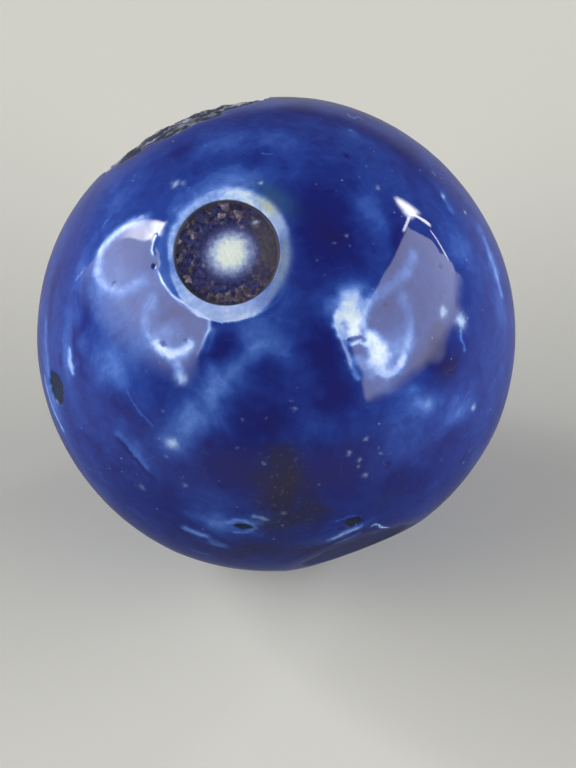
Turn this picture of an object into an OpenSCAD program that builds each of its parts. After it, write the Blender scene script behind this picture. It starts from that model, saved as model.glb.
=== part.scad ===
/* [Ball] */
// Diameter of the clay ball
ball_d = 27; // [18:0.5:40]

/* [Hand-rolled sides] */
// Angle from the middle to the edge of the low side round the foot flat
foot_side_reach = 48; // [40:1:52]
// Depth of that low side at its middle
foot_side_depth = 0.24; // [0.1:0.02:0.5]
// Angle from the middle to the edge of the low side under the crust
crust_side_reach = 36; // [30:1:42]
// Depth of that low side at its middle
crust_side_depth = 0.16; // [0.1:0.02:0.4]

/* [Kiln eye] */
// Turn of the eye about the upright axis, from +X
eye_turn = -120; // [-180:1:180]
// Tilt of the eye away from the top
eye_tilt = 25; // [0:1:60]
// Radius of the broken scar
eye_scar_r = 3.04; // [2.2:0.02:4]
// Width of the smooth glaze collar round the scar
eye_collar = 0.76; // [0.3:0.02:1.6]
// Depth of the scar floor below its rim
eye_scar_depth = 0.2; // [0.1:0.02:0.4]
// Radius of the low dome in the middle of the scar
eye_dome_r = 1.5; // [0.6:0.05:1.8]
// Height of the dome above the scar floor
eye_dome_h = 0.14; // [0.04:0.02:0.3]
// Number of glass crumbs left round the dome
eye_crumbs = 28; // [1:1:36]
// Radius of the largest crumb
eye_crumb_r = 0.4; // [0.1:0.02:0.5]

/* [Crust patch] */
// Turn of the crust about the upright axis, from +X
crust_turn = 120; // [90:1:170]
// Tilt of the crust away from the top
crust_tilt = 58; // [50:1:90]
// Radius of the crust, measured straight across
crust_r = 5; // [3:0.1:5.6]
// Depth to which the glaze broke away under the crust
crust_depth = 0.16; // [0.06:0.02:0.4]
// Number of crumbs in the crust
crust_crumbs = 32; // [1:1:44]
// Radius of the largest crumb in the crust
crust_crumb_r = 0.8; // [0.3:0.05:1]

/* [Foot flat] */
// Turn of the foot flat and the low side round it, from +X
foot_turn = -65; // [-80:1:-50]
// Tilt of the foot flat away from the top
foot_tilt = 124; // [110:1:130]
// Radius of the foot flat, out to the edge of its rounding
foot_flat_r = 3.3; // [2.4:0.1:4.5]
// Width of the rounding that leads from the foot flat to the ball
foot_collar = 0.9; // [0.3:0.05:1.6]

/* [Small scars] */
// Radius of the round scar on the side
side_scar_r = 1.1; // [0.5:0.05:2]
// Turn of the side scar, from +X
side_scar_turn = -157; // [-170:1:-140]
// Tilt of the side scar away from the top
side_scar_tilt = 85; // [70:1:100]
// Radius of the round pock above the foot flat
pock_r = 0.6; // [0.3:0.05:1]
// Turn of the pock, from +X
pock_turn = -71; // [-80:1:-60]
// Tilt of the pock away from the top
pock_tilt = 99; // [92:1:102]
// Depth of the side scar and of the pock, below their rims
small_scar_depth = 0.13; // [0.06:0.01:0.25]
// Length of the long chip low on the front
chip_length = 1.4; // [0.9:0.05:2.2]
// Width of the long chip
chip_width = 0.75; // [0.4:0.05:0.85]
// Depth of the long chip
chip_depth = 0.13; // [0.06:0.01:0.2]
// Turn of the long chip, from +X
chip_turn = -98; // [-110:1:-90]
// Tilt of the long chip away from the top
chip_tilt = 97; // [90:1:106]

/* [Hidden] */

ball_r = ball_d / 2;
// How far every cutter runs on past the ball
over = 1;
// Flats to a full turn of the ball, of a crumb and of a shallow arc's whole circle
ball_steps = 64;
crumb_steps = 14;
arc_steps = 144;
// Slope at which broken glaze falls from a rim to its floor
break_slope = 50;
// Angle left between a collar and the ball where they meet
collar_crease = 5;
// Smallest crumb, as a share of the largest
least_crumb = 0.45;
// Share of a crumb's radius that stands above its floor
crumb_stand = 0.35;
// Turn from one crumb to the next, which never comes round to the same place
crumb_turn = 137.508;
// Step by which the crumbs' sizes jump about
size_jump = 0.377;

// Low side of a hand-rolled ball: the larger sphere that shaves it, and that sphere's middle
function edge_rise(reach, depth) = ball_r * (1 - cos(reach)) - depth;
function side_sphere_r(reach, depth) = cap_sphere_r(ball_r * sin(reach), edge_rise(reach, depth));
function side_sphere_z(reach, depth) = ball_r - depth - side_sphere_r(reach, depth);

// Radius of the sphere with a cap of this edge radius and rise
function cap_sphere_r(edge_r, rise) = (edge_r ^ 2 + rise ^ 2) / (2 * rise);

// Height above a sphere's middle at which its surface is r from its axis
function height_on(sphere_r, r) = sqrt(sphere_r ^ 2 - r ^ 2);

// Radius of crumb i, which jumps about between the smallest and the largest
function crumb_r(i, largest_r) = largest_r * (least_crumb + (1 - least_crumb) * ((i * size_jump) % 1));

// Angle at which a collar leans where it meets a sphere, and its height at the inner edge
function collar_lean(sphere_r, edge_r) = asin(edge_r / sphere_r) - collar_crease;
function collar_top(sphere_r, edge_r, collar) =
    height_on(sphere_r, edge_r) + collar * tan(collar_lean(sphere_r, edge_r) / 2);

// Direction of a place on the ball, and the ball's drop there into the low side round the foot
function direction(turn, tilt) = [sin(tilt) * cos(turn), sin(tilt) * sin(turn), cos(tilt)];
function foot_side_drop(turn, tilt) =
    let (
        cos_away = direction(turn, tilt) * direction(foot_turn, foot_tilt),
        z = side_sphere_z(foot_side_reach, foot_side_depth),
        r = side_sphere_r(foot_side_reach, foot_side_depth),
        surface_r = z * cos_away + sqrt(r ^ 2 - z ^ 2 * (1 - cos_away ^ 2))
    )
    max(0, ball_r - surface_r);

// Carry what is drawn about +Z to a place on the ball
module on_ball(turn, tilt) {
    rotate([0, tilt, turn]) children();
}

// Larger sphere that shaves the ball low on the +Z side
module side_sphere(reach, depth) {
    translate([0, 0, side_sphere_z(reach, depth)])
        sphere(side_sphere_r(reach, depth), $fn = ball_steps);
}

// Ball as it was rolled by hand, with two sides a little low
module rolled_ball() {
    intersection() {
        sphere(ball_r, $fn = ball_steps);
        on_ball(foot_turn, foot_tilt) side_sphere(foot_side_reach, foot_side_depth);
        on_ball(crust_turn, crust_tilt) side_sphere(crust_side_reach, crust_side_depth);
    }
}

// All that lies outside a flat whose rounded collar leads over to a sphere at edge_r
module outside_flat(sphere_r, edge_r, collar) {
    lean = collar_lean(sphere_r, edge_r);
    round_r = collar / sin(lean);
    flat_r = edge_r - collar;
    flat_z = collar_top(sphere_r, edge_r, collar);
    edge_z = height_on(sphere_r, edge_r);
    reach = sphere_r / 2;
    rotate_extrude($fn = ball_steps) difference() {
        polygon([
            [0, flat_z],
            [flat_r, flat_z],
            [edge_r, edge_z],
            [edge_r + reach * cos(lean), edge_z - reach * sin(lean)],
            [edge_r + reach * cos(lean), sphere_r + over],
            [0, sphere_r + over]
        ]);
        translate([flat_r, flat_z - round_r]) circle(round_r, $fn = arc_steps);
    }
}

// Round hole with a broken, sloping wall, open upwards, and with a low dome on its floor if asked for
module broken_hole(rim_r, rim_z, floor_z, dome_r = 0, dome_h = 0) {
    floor_r = rim_r - (rim_z - floor_z) / tan(break_slope);
    open_r = rim_r + over / tan(break_slope);
    rotate_extrude($fn = ball_steps) difference() {
        polygon([[0, floor_z], [floor_r, floor_z], [open_r, rim_z + over], [0, rim_z + over]]);
        if (dome_h > 0) {
            dome_sphere_r = cap_sphere_r(dome_r, dome_h);
            translate([0, floor_z + dome_h - dome_sphere_r]) circle(dome_sphere_r, $fn = arc_steps);
        }
    }
}

// Crumbs strewn evenly about +Z between two radii, sunk in a floor that is flat or part of a sphere
module crumbs(count, inner_r, outer_r, largest_r, floor_z, floor_sphere_r = undef) {
    for (i = [0 : count - 1]) {
        r = crumb_r(i, largest_r);
        place_r = sqrt(inner_r ^ 2 + (outer_r ^ 2 - inner_r ^ 2) * (i + 0.5) / count);
        drop = is_undef(floor_sphere_r) ? 0 : floor_sphere_r - height_on(floor_sphere_r, place_r);
        rotate(i * crumb_turn)
            translate([place_r, 0, floor_z - drop - r * (1 - crumb_stand)])
                sphere(r, $fn = crumb_steps);
    }
}

// The eye: a smooth collar, a scar sunk inside it, a low dome and a ring of crumbs
eye_edge_r = eye_scar_r + eye_collar;
eye_rim_z = collar_top(ball_r, eye_edge_r, eye_collar);
eye_floor_z = eye_rim_z - eye_scar_depth;

module eye_cut() {
    outside_flat(ball_r, eye_edge_r, eye_collar);
    broken_hole(eye_scar_r, eye_rim_z, eye_floor_z, eye_dome_r, eye_dome_h);
}

module eye_crumb_ring() {
    crumbs(eye_crumbs, eye_dome_r, eye_scar_r - eye_crumb_r, eye_crumb_r, eye_floor_z);
}

// The crust: glaze broken away over a low side, and crumbs fused to what is left
crust_outer_r = side_sphere_r(crust_side_reach, crust_side_depth);
crust_floor_r = crust_outer_r - crust_depth;
crust_middle_z = side_sphere_z(crust_side_reach, crust_side_depth);

module crust_cut() {
    rim_z = height_on(crust_outer_r, crust_r);
    translate([0, 0, crust_middle_z]) difference() {
        broken_hole(crust_r, rim_z, rim_z - 2 * crust_depth);
        sphere(crust_floor_r, $fn = ball_steps);
    }
}

module crust_crumb_field() {
    translate([0, 0, crust_middle_z])
        crumbs(crust_crumbs, 0, crust_r - crust_crumb_r, crust_crumb_r, crust_floor_r, crust_floor_r);
}

// The foot: a flat on the low side that the ball leaned on while it dried
module foot_cut() {
    translate([0, 0, side_sphere_z(foot_side_reach, foot_side_depth)])
        outside_flat(side_sphere_r(foot_side_reach, foot_side_depth), foot_flat_r, foot_collar);
}

// Small round scar, sunk from wherever the surface is at that place
module round_scar_cut(scar_r, turn, tilt) {
    rim_z = height_on(ball_r, scar_r) - foot_side_drop(turn, tilt);
    on_ball(turn, tilt) broken_hole(scar_r, rim_z, rim_z - small_scar_depth);
}

// Long chip with pointed ends: the lens where two spheres cross
module long_chip_cut() {
    mouth_r = (chip_length ^ 2 + chip_width ^ 2) / (4 * chip_width);
    apart = mouth_r - chip_width / 2;
    lift = ((chip_length / 2) ^ 2 - chip_depth ^ 2) / (2 * chip_depth);
    sphere_r = sqrt(mouth_r ^ 2 + lift ^ 2);
    surface_z = ball_r - foot_side_drop(chip_turn, chip_tilt);
    on_ball(chip_turn, chip_tilt)
        intersection_for(side = [0, 180])
            rotate(side) translate([apart, 0, surface_z + lift]) sphere(sphere_r, $fn = ball_steps);
}

module marble() {
    color("mediumblue") difference() {
        rolled_ball();
        on_ball(eye_turn, eye_tilt) eye_cut();
        on_ball(crust_turn, crust_tilt) crust_cut();
        on_ball(foot_turn, foot_tilt) foot_cut();
        round_scar_cut(side_scar_r, side_scar_turn, side_scar_tilt);
        round_scar_cut(pock_r, pock_turn, pock_tilt);
        long_chip_cut();
    }
    color("dimgray") {
        on_ball(eye_turn, eye_tilt) eye_crumb_ring();
        on_ball(crust_turn, crust_tilt) crust_crumb_field();
    }
}

marble();
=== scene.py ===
import math
import random

import bmesh
import bpy
import numpy as np
from mathutils import Matrix, Vector, noise


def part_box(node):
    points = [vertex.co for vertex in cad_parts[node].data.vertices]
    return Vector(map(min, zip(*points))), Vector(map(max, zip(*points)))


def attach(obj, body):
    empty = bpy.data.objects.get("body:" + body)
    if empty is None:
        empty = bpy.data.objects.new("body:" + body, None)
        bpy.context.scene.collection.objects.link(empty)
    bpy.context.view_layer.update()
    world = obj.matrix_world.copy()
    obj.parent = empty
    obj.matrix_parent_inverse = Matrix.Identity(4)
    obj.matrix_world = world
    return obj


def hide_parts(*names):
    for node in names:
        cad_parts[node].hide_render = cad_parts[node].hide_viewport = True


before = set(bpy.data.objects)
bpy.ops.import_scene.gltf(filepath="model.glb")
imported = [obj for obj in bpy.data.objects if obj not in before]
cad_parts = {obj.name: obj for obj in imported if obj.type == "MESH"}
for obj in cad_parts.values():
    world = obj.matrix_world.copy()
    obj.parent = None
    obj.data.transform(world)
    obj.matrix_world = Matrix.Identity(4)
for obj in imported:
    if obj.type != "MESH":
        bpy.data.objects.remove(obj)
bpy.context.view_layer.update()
noise.seed_set(2)  # so that the clouds drift the same way at every run

mm = 0.001
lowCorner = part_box("marble")[0]
ballRadius = -lowCorner.z / mm  # millimetres, like every size on the ball

viewFrame = {
    "width": 576,  # pixels
    "height": 768,
    "ballCentre": (276.2, 335),
    "ballAcross": 479,
    "elevation": 47,  # degrees above the floor
    "distance": 1000,  # from the lens to the ball, in millimetres
}

viewTilt = math.radians(viewFrame["elevation"])
viewRight = Vector((1, 0, 0))
viewUp = Vector((0, math.sin(viewTilt), math.cos(viewTilt)))
viewBack = Vector((0, -math.cos(viewTilt), math.sin(viewTilt)))
lensToEdge = math.sqrt(viewFrame["distance"] ** 2 - ballRadius ** 2)
focalPixels = viewFrame["ballAcross"] / 2 * lensToEdge / ballRadius
middleX = viewFrame["width"] / 2
middleY = viewFrame["height"] / 2
pixelSize = viewFrame["distance"] / focalPixels
cameraSpot = (
    viewRight * (middleX - viewFrame["ballCentre"][0]) * pixelSize
    + viewUp * (viewFrame["ballCentre"][1] - middleY) * pixelSize
    + viewBack * viewFrame["distance"]
)


def seenAt(x, y):
    # direction from the ball's middle to the place on it that shows at this pixel
    ray = viewRight * (x - middleX) + viewUp * (middleY - y) - viewBack * focalPixels
    ray.normalize()
    nearest = ray.dot(cameraSpot)
    inside = nearest ** 2 - cameraSpot.length_squared + ballRadius ** 2
    return (cameraSpot - ray * (nearest + math.sqrt(max(inside, 0)))).normalized()


def turnedTo(turn, tilt):
    # direction at these two angles, as the part's source places its scars
    turn = math.radians(turn)
    tilt = math.radians(tilt)
    return Vector((math.sin(tilt) * math.cos(turn), math.sin(tilt) * math.sin(turn), math.cos(tilt)))


def axisOf(mark):
    return turnedTo(mark["turn"], mark["tilt"])


def addToScene(name, data):
    thing = bpy.data.objects.new(name, data)
    bpy.context.scene.collection.objects.link(thing)
    return thing


def placeCamera():
    lens = bpy.data.cameras.new("viewLens")
    lens.lens = focalPixels * lens.sensor_width / viewFrame["height"]
    camera = addToScene("viewCamera", lens)
    camera.location = cameraSpot * mm
    camera.rotation_euler = (math.radians(90) - viewTilt, 0, 0)
    bpy.context.scene.camera = camera


placeCamera()
bpy.context.scene.view_settings.view_transform = "Standard"
print("camera placed, lens", round(bpy.context.scene.camera.data.lens))


def paint(red, green, blue):
    # a colour as it shows on a screen, 0 to 255, turned to the shader's own scale
    shares = [red / 255, green / 255, blue / 255]
    plain = [((share + 0.055) / 1.055) ** 2.4 if share > 0.04045 else share / 12.92 for share in shares]
    return (*plain, 1)


class Wire:
    # a shader socket that takes part in plain arithmetic

    def __init__(self, board, socket):
        self.board = board
        self.socket = socket

    def math(self, operation, first, second):
        return self.board.add("Math", {"operation": operation}, {0: first, 1: second})

    def __add__(self, other):
        return self.math("ADD", self, other)

    def __radd__(self, other):
        return self.math("ADD", other, self)

    def __sub__(self, other):
        return self.math("SUBTRACT", self, other)

    def __rsub__(self, other):
        return self.math("SUBTRACT", other, self)

    def __mul__(self, other):
        return self.math("MULTIPLY", self, other)

    def __rmul__(self, other):
        return self.math("MULTIPLY", other, self)


class Board:
    # the nodes of one material, light or world

    def __init__(self, owner):
        owner.use_nodes = True
        self.tree = owner.node_tree
        self.tree.nodes.clear()

    def add(self, kind, settings=None, inputs=None, output=0):
        node = self.tree.nodes.new("ShaderNode" + kind)
        for name, value in (settings or {}).items():
            if name == "stops":
                ramp = node.color_ramp
                while len(ramp.elements) < len(value):
                    ramp.elements.new(0.5)
                for element, (position, colour) in zip(ramp.elements, value):
                    element.position = position
                    element.color = colour
            else:
                setattr(node, name, value)
        for name, value in (inputs or {}).items():
            if isinstance(value, Wire):
                self.tree.links.new(value.socket, node.inputs[name])
            else:
                node.inputs[name].default_value = value
        return Wire(self, node.outputs[output]) if len(node.outputs) else None

    def ease(self, value, low, high):
        # 0 at low, 1 at high, with soft ends
        return self.add(
            "MapRange",
            {"interpolation_type": "SMOOTHSTEP"},
            {"Value": value, "From Min": low, "From Max": high},
        )

    def part(self, vector, letter):
        return self.add("SeparateXYZ", {}, {"Vector": vector}, letter)

    def larger(self, first, second):
        return self.add("Math", {"operation": "MAXIMUM"}, {0: first, 1: second})

    def mix(self, share, first, second):
        return self.add("Mix", {"data_type": "RGBA"}, {0: share, 6: first, 7: second}, 2)

    def ramp(self, value, stops):
        # colours by value; each stop is a place and a screen colour
        return self.add(
            "ValToRGB",
            {"stops": [(place, paint(*colour)) for place, colour in stops]},
            {"Fac": value},
        )

    def cloud(self, place, scale, detail, roughness=0.5, distortion=0.0):
        sockets = dict(Vector=place, Scale=scale, Detail=detail, Roughness=roughness, Distortion=distortion)
        return self.add("TexNoise", {}, sockets)


studio = {
    "away": 1.0,  # metres from the ball to the planes of the softboxes
    "wattage": 4,  # of a square metre of lamp at a brightness of 1
    "torn": 0.13,  # how ragged the edges of the lights are
    "boxRim": 0.03,  # the softboxes have crisp high edges
    # brightness of the room: straight down, just below the horizon, just above it, overhead
    "underGlow": 0.16,
    "floorGlow": 0.44,
    "wallGlow": 0.17,
    "ceilingGlow": 0.1,
    "backShade": 0.2,  # how much darker the floor is behind the ball
    "floorColour": (208, 207, 199),
    "floorReach": 0.9,  # metres
}

# side, how far forward, height, length and width as shares of away, lean in degrees, brightness,
# share of the light over which its edges fade, how much it narrows towards its far end
studioLights = {
    "rightBox": (1, -0.3, 0.42, 1.7, 1.02, -12, 3.3, 0.14, 0.33),
    "rightLamp": (0.97, 0.865, 0.525, 0.38, 0.31, 41, 20, 0.4, 0.66),
    "rightEdge": (0.965, 0.735, 0.37, 0.28, 0.05, 72, 14, 0.3, 0.0),
    "rightEdgeLow": (0.965, 0.56, 0.19, 0.26, 0.022, 42, 11, 0.3, 0.0),
    "rightTop": (0.965, 0.6, 0.56, 0.28, 0.04, -28, 13, 0.3, 0.0),
    "leftBox": (-1, -0.26, 0.5, 1.95, 0.98, -20, 3.8, 0.4, 0.2),
    "leftLamp": (-0.97, 0.56, 0.57, 0.26, 0.62, 9, 8.3, 0.34, 0.0),
    "leftCore": (-0.96, 0.53, 0.7, 0.24, 0.32, 9, 13, 0.4, 0.0),
    "leftEdge": (-0.97, 0.61, 0.2, 0.42, 0.06, 70, 9, 0.4, 0.3),
}


def hangLight(name):
    side, forward, height, length, width, lean, brightness, rim, narrowing = studioLights[name]
    away = studio["away"]
    data = bpy.data.lights.new(name, "AREA")
    data.shape = "RECTANGLE"
    data.size = length * away
    data.size_y = width * away
    data.energy = brightness * studio["wattage"] * data.size * data.size_y
    lamp = addToScene(name, data)
    outward = Vector((math.copysign(1, side), 0, 0))
    longWay = Vector((0, math.cos(math.radians(lean)), math.sin(math.radians(lean))))
    turned = Matrix((longWay, outward.cross(longWay), outward)).transposed().to_4x4()
    lamp.matrix_world = Matrix.Translation(Vector((side, forward, height)) * away) @ turned
    lamp.visible_camera = False

    # it grows dim towards its low edge and its ends, a little unevenly
    board = Board(data)
    sheet = board.add("NewGeometry", output="Parametric")
    along = board.part(sheet, "X")
    upward = board.part(sheet, "Y")
    ragged = (board.cloud(sheet, 5, 3) - 0.5) * studio["torn"]
    if side > 0:
        upward = 1 - upward
    taper = along * along * (narrowing / 2)
    low = (1 - upward) - taper + ragged
    high = upward - taper + ragged
    topRim = rim if abs(side) < 1 else studio["boxRim"]
    nearEnd = board.ease(along + ragged, 0.0, rim / 2)
    farEnd = board.ease(1 - along + ragged, 0.0, topRim / 2)
    strength = board.ease(low, 0.0, rim) * board.ease(high, 0.0, topRim) * nearEnd * farEnd
    glow = board.add("Emission", {}, {"Color": (1, 1, 1, 1), "Strength": strength})
    board.add("OutputLight", {}, {"Surface": glow})


def lightRoom():
    world = bpy.data.worlds.new("studioRoom")
    bpy.context.scene.world = world
    board = Board(world)
    direction = board.add("TexCoord", output="Generated")
    height = board.part(direction, "Z")
    behind = board.part(direction, "Y")
    floorGlow = studio["floorGlow"]
    wallGlow = studio["wallGlow"]
    ceilingGlow = studio["ceilingGlow"]
    below = board.ease(height, -0.02, -0.32) * (floorGlow - wallGlow)
    below = below - board.ease(height, -0.45, -0.92) * (floorGlow - studio["underGlow"])
    below = below * (1 - board.ease(behind, 0.1, 0.9) * studio["backShade"])
    above = board.ease(height, 0.7, 0.1) * (wallGlow - ceilingGlow) + ceilingGlow
    room = board.add("Background", {}, {"Color": (1, 1, 1, 1), "Strength": above + below})
    board.add("OutputWorld", {}, {"Surface": room})


def layFloor():
    sheet = bmesh.new()
    bmesh.ops.create_circle(sheet, cap_ends=True, segments=96, radius=studio["floorReach"])
    bmesh.ops.translate(sheet, verts=sheet.verts, vec=(0, 0, lowCorner.z))
    mesh = bpy.data.meshes.new("floor")
    sheet.to_mesh(mesh)
    sheet.free()
    floor = addToScene("floor", mesh)
    floor.visible_glossy = False  # the glaze mirrors the room, which is as pale below the horizon
    matt = bpy.data.materials.new("palePaper")
    board = Board(matt)
    paper = board.add(
        "BsdfPrincipled",
        {},
        {"Base Color": paint(*studio["floorColour"]), "Roughness": 0.9, "Specular IOR Level": 0.2},
    )
    board.add("OutputMaterial", {}, {"Surface": paper})
    mesh.materials.append(matt)


for name in studioLights:
    hangLight(name)
lightRoom()
layFloor()
print("studio lit")

rolledBall = {
    "halvings": 7,  # of the first twenty faces
    # low sides of the hand-rolled ball: turn, tilt, reach (degrees), depth (mm)
    "lowSides": ((-65, 124, 48, 0.24), (120, 58, 36, 0.16)),
    "sideBlend": 0.02,
    "waves": ((0.22, 0.035), (0.55, 0.009), (1.1, 0.0034)),  # steps per mm, height in mm
}

kilnEye = {
    "turn": -120,
    "tilt": 25,
    "scar": 3.04,  # radius of the broken rim
    "stretch": 1.08,  # the rim is a little longer towards the camera
    "collar": 0.76,  # width of the smooth ring round it
    "crease": 5,  # degrees
    "depth": 0.2,
    "wall": 0.15,
    "dome": 1.5,
    "domeHeight": 0.14,
    "crumb": 0.36,  # size of the fused crumbs
    "crumbHeight": 0.15,
    "corePixel": (228.5, 249.5),
    "markReach": 7,  # the colours round it end here, from its middle
}

crustPatch = {
    "turn": 120,
    "tilt": 58,
    "reach": 5.0,
    "spread": 0.9,  # how far its ragged edge runs over the glaze
    "depth": 0.16,
    "crumb": 0.7,
    "crumbHeight": 0.17,
}

footScar = {
    "turn": -65,
    "tilt": 124,
    "flat": 3.3,
    "collar": 0.9,
    "crease": 5,
    "rough": 0.03,
}

# small scars: turn, tilt, radius, depth
smallScars = {
    "side": (-157, 85, 1.1, 0.13),
    "pock": (-71, 99, 0.6, 0.13),
}

longChip = {
    "turn": -98,
    "tilt": 97,
    "length": 1.4,
    "width": 0.75,
    "depth": 0.13,
}

# hollows in the glaze: pixel, half length and half width in mm, lean in degrees, depth
glazeHollows = {
    "upperLeft": (119, 264, 2.1, 1.8, 60, 0.06),
    "lowerLeft": (175, 322, 2.5, 2.1, -35, 0.085),
    "right": (386, 334, 2.9, 1.9, 80, 0.07),
    "rightUpper": (412, 262, 2.4, 1.2, 62, 0.022),
    "rightEdge": (436, 350, 1.8, 1.0, -40, 0.03),
}

# ridges and rolled edges, where the glaze thins and breaks paler, with a painted highlight along them: pixels
# along it, width, height, paleness (partly the glaze breaking pale, partly a painted highlight)
glazeRidges = {
    "upperLeftArc": (((140, 219), (124, 226), (111, 237), (101, 249), (96, 262)), 0.26, 0.016, 0.34),
    "upperLeftRim": (
        ((96, 262), (97, 277), (106, 288), (118, 293), (132, 289), (143, 279), (149, 268)),
        0.26, 0.014, 0.1,
    ),
    "lowerLeftRim": (((160, 293), (149, 302), (144, 317), (147, 334), (156, 347)), 0.26, 0.015, 0.1),
    "eyeLipTop": (((157, 232), (154, 242), (152, 250), (154, 258)), 0.1, 0.022, 0.5),
    "eyeLip": (((156, 266), (163, 281), (172, 294), (181, 301), (190, 307), (198, 312)), 0.11, 0.026, 0.55),
    "eyeLipTail": (
        ((192, 308), (203, 313), (210, 320), (209, 330), (203, 343), (197, 360)),
        0.15, 0.024, 0.42,
    ),
    "lipShade": (((214, 326), (212, 340), (204, 356)), 0.22, 0.006, 0.2),
    "underEye": (((196, 311), (210, 318), (226, 321), (244, 318), (261, 311), (275, 301)), 0.1, 0.016, 0.22),
    "crescent": (
        ((377, 366), (384, 373), (392, 373), (400, 366), (405, 354), (409, 338), (411, 322), (408, 305)),
        0.24, 0.012, 0.2,
    ),
    "milkRim": (((345, 302), (336, 314), (334, 326), (340, 342), (346, 356), (351, 374)), 0.12, 0.014, 0.1),
    "leftWave": (((88, 240), (80, 270), (78, 300), (82, 335), (92, 365)), 0.35, 0.016, 0.04),
    "footRidge": (((330, 543), (342, 537), (354, 532), (363, 529)), 0.16, 0.045, 0.3),
    "footRidgeLow": (((334, 547), (348, 542), (360, 537)), 0.12, 0.035, 0.3),
    "footWave": (((371, 530), (376, 527), (380, 527), (385, 531), (393, 531)), 0.12, 0.05, 0.4),
}

# folds and scratches: pixels along it, width, depth
glazeFolds = {
    "lowLeftFold": (((114, 434), (126, 447), (138, 461), (148, 474), (158, 481)), 0.24, 0.05),
    "leftLimbFold": (((70, 318), (68, 340), (72, 365), (80, 392)), 0.3, 0.02),
}


def across(skin, axis):
    # distance of each point from an axis through the ball; the far side is out of reach
    along = skin @ np.array(axis)
    apart = ballRadius * np.sqrt(np.clip(1 - along ** 2, 0, 1))
    return np.where(along > 0, apart, 4 * ballRadius)


def rampUp(low, high, values):
    share = np.clip((values - low) / (high - low), 0, 1)
    return share * share * (3 - 2 * share)


def bell(values):
    return np.exp(-values ** 2)


def onBall(points):
    return points / np.linalg.norm(points, axis=1)[:, None]


def laidOut(skin, x, y, lean):
    # millimetres along and across a leaning mark, for each point
    up = seenAt(x, y)
    longWay = viewRight * math.cos(math.radians(lean)) + viewUp * math.sin(math.radians(lean))
    longWay = (longWay - up * longWay.dot(up)).normalized()
    shortWay = up.cross(longWay)
    facing = np.where(skin @ np.array(up) > 0, 1, 1e3)
    return skin @ np.array(longWay) * ballRadius * facing, skin @ np.array(shortWay) * ballRadius * facing


def ovalReach(skin, x, y, long, short, lean):
    # 0 in the middle of an oval mark, 1 on its edge
    along, aside = laidOut(skin, x, y, lean)
    return np.sqrt((along / long) ** 2 + (aside / short) ** 2)


def lineReach(skin, pixels):
    # distance of each point from a bent line on the ball, and 0 to 1 along it
    places = [np.array(seenAt(*pixel)) for pixel in pixels]
    nearest = np.full(len(skin), 99.0)
    along = np.zeros(len(skin))
    for index, (first, last) in enumerate(zip(places, places[1:])):
        stretch = last - first
        share = np.clip((skin - first) @ stretch / (stretch @ stretch), 0, 1)
        apart = np.linalg.norm(skin - (first + share[:, None] * stretch), axis=1) * ballRadius
        along = np.where(apart < nearest, (index + share) / (len(places) - 1), along)
        nearest = np.minimum(nearest, apart)
    return nearest, along


def noiseAt(points, step, offset):
    shift = Vector((offset, offset * 0.7, -offset))
    return np.array([noise.noise(Vector(point) * step + shift) for point in points])


def driftAt(points, step, offset):
    shift = Vector((offset, -offset, offset * 0.5))
    return np.array([noise.noise_vector(Vector(point) * step + shift) for point in points])


def crumbsAt(points, size, offset):
    # height of the fused crumb at each point, and a number that each crumb keeps to itself
    heights = np.zeros(len(points))
    tints = np.zeros(len(points))
    shift = Vector((offset, offset * 0.3, -offset))
    for index, point in enumerate(points):
        spots, centres = noise.voronoi(Vector(point) / size + shift)
        own = noise.cell(centres[0] * 7.3)
        heights[index] = max(0, 1 - (spots[0] / (0.45 + 0.35 * own)) ** 2) * (0.45 + 0.55 * own)
        tints[index] = own
    return heights, tints


# tone runs from 0, thin and pale, to 1, thick and nearly black; some clouds, strokes and ridges also paint
# highlights, reflections and shade into it
glazeColours = {
    "tones": (
        (0.0, (224, 240, 250)), (0.12, (152, 182, 240)), (0.25, (90, 125, 205)), (0.38, (58, 91, 172)),
        (0.52, (38, 64, 147)), (0.66, (29, 46, 126)), (0.8, (24, 31, 106)), (1.0, (28, 26, 92)),
    ),
    "crumbs": (
        (0.0, (40, 34, 54)), (0.35, (62, 56, 72)), (0.6, (92, 84, 100)), (0.82, (132, 122, 142)),
        (1.0, (190, 182, 200)),
    ),
    "core": (
        (0.0, (58, 62, 104)), (0.2, (82, 90, 138)), (0.38, (122, 134, 178)), (0.52, (172, 188, 212)),
        (0.66, (216, 226, 222)), (1.0, (226, 232, 224)),
    ),
    "crust": (
        (0.0, (48, 52, 70)), (0.26, (84, 86, 92)), (0.46, (112, 116, 108)), (0.62, (132, 136, 180)),
        (0.8, (186, 182, 186)), (1.0, (216, 212, 206)),
    ),
    # the foot's colours run to near black, partly its own thin glaze and partly painted shade on its downward
    # sliver
    "foot": (
        (0.0, (12, 16, 36)), (0.5, (26, 30, 56)), (0.68, (44, 50, 74)), (0.85, (78, 86, 104)),
        (1.0, (130, 140, 156)),
    ),
    # from dark to light
    "eyeFloor": ((38, 38, 78), (58, 62, 104)),
    "eyeBrown": ((54, 52, 66), (92, 86, 96)),
    "smallScar": ((12, 20, 44), (48, 58, 74)),
    # painted shade of the scar's wall, a dark band just inside the broken rim
    "eyeWallShade": (66, 64, 76),
    "plain": 0.6,
    "umber": (40, 37, 55),
    "moss": (172, 184, 156),
    "teal": (50, 86, 118),
    "fleck": (176, 204, 246),
    "pinhole": (168, 172, 214),
    "pearl": (166, 180, 222),
    "speck": (104, 100, 108),
    "hair": (150, 160, 214),
    "drift": 0.75,  # how far the clouds' edges wander, in mm
}

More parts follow.
